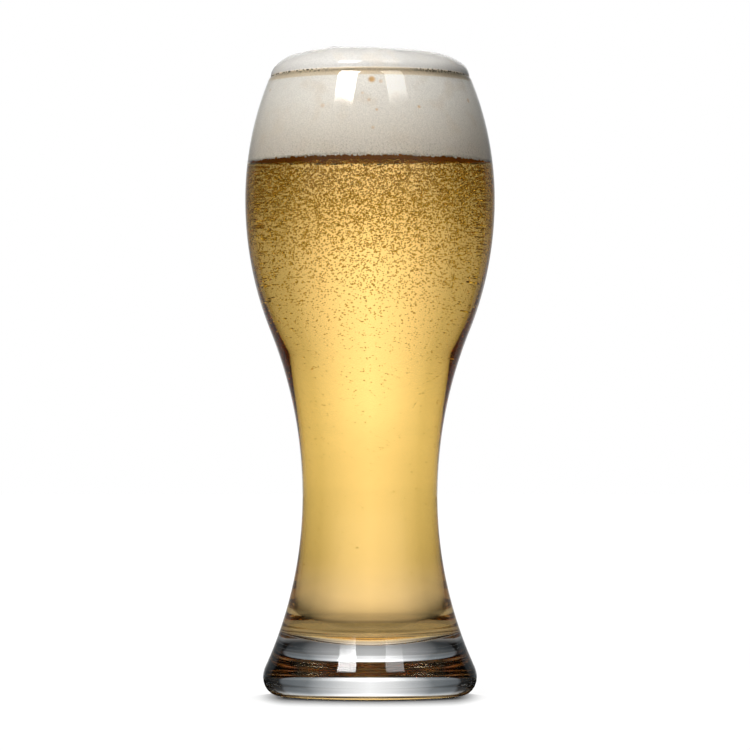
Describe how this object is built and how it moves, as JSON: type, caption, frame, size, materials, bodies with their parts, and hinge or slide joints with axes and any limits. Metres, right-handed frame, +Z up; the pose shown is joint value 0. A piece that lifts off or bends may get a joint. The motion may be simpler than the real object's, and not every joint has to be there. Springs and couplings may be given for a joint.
{
  "type": "pilsner glass",
  "caption": "Tall waisted beer glass with a heavy foot, full of golden lager under a domed head of foam that laps over the lip.",
  "frame": {"origin": "middle of the flat underside of the foot, on the table", "axes": "+Z up along the axis of the glass; the glass is round, and the picture looks along +Y"},
  "size_m": [0.0874, 0.0874, 0.2261],
  "materials": {
    "clear_glass": "clear soda-lime glass, fire polished",
    "lager": "clear golden liquid with rising bubbles",
    "foam": "fine off-white foam, moist and matt"
  },
  "bodies": {
    "root": {"glass": "clear_glass", "beer": "lager", "foam_head": "foam"}
  },
  "joints": []
}
